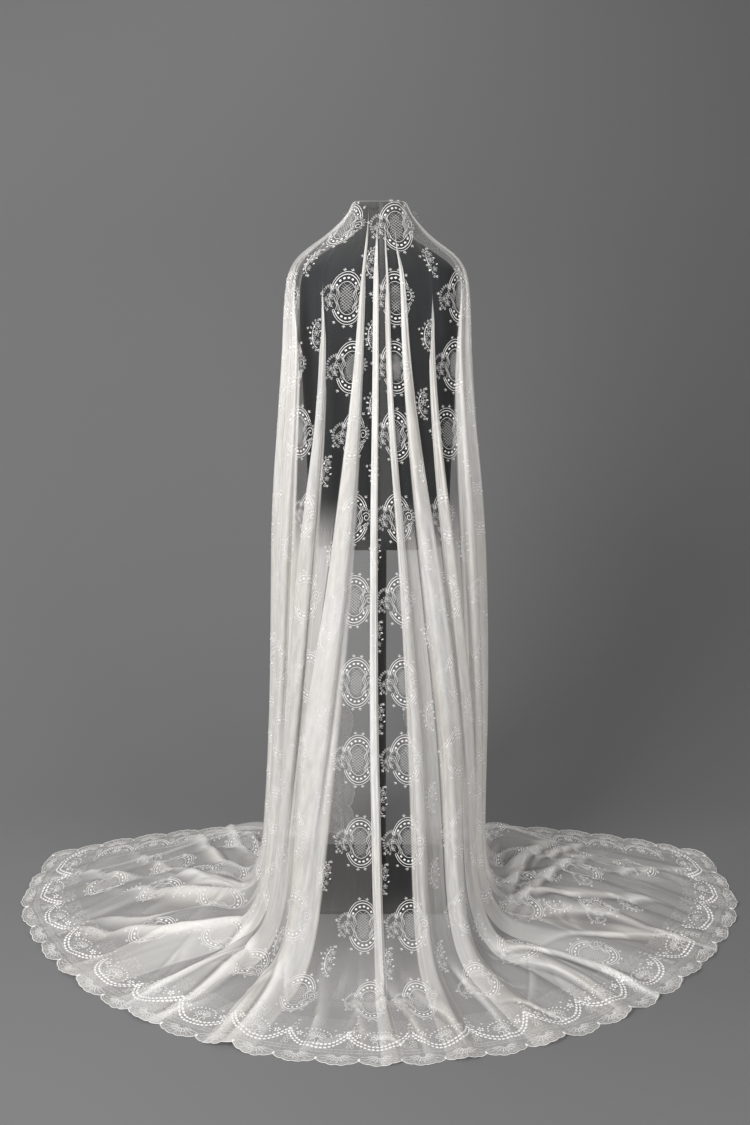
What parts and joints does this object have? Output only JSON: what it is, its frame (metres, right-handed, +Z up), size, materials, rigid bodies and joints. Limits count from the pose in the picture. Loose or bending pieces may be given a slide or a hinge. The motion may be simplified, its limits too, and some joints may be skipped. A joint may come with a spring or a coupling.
{
  "type": "bridal veil on a dress form",
  "caption": "Long embroidered tulle bridal veil with a scalloped lace border and a round train, draped in folds over a dark limbless dress form on a square base.",
  "frame": {"origin": "on the floor, on the axis of the form's pole, at the underside of the base plate", "axes": "+Z up; the veil's back and its train lie towards -Y, its open front is towards +Y, and +X is to the right when the back is looked at"},
  "size_m": [1.7232, 0.9706, 1.6229],
  "materials": {
    "embroidered_tulle": "sheer ivory silk tulle with satin-stitch motifs, matt",
    "lace_border": "sheer ivory tulle, densely embroidered with corded scallops and satin dots",
    "form_jersey": "dark blue-black stretched jersey cover, matt",
    "stand_steel": "satin black powder coat"
  },
  "bodies": {
    "root": {"veil_crown": "embroidered_tulle", "veil_back_fall": "embroidered_tulle", "veil_left_fall": "embroidered_tulle", "veil_right_fall": "embroidered_tulle", "veil_back_train": "embroidered_tulle", "veil_left_train": "embroidered_tulle", "veil_right_train": "embroidered_tulle", "border_back": "lace_border", "border_left": "lace_border", "border_right": "lace_border", "border_front_left": "lace_border", "border_front_right": "lace_border", "border_far_left": "lace_border", "border_far_right": "lace_border", "form_torso": "form_jersey", "form_neck_cap": "form_jersey", "form_pole": "stand_steel", "form_base": "stand_steel"}
  },
  "joints": []
}
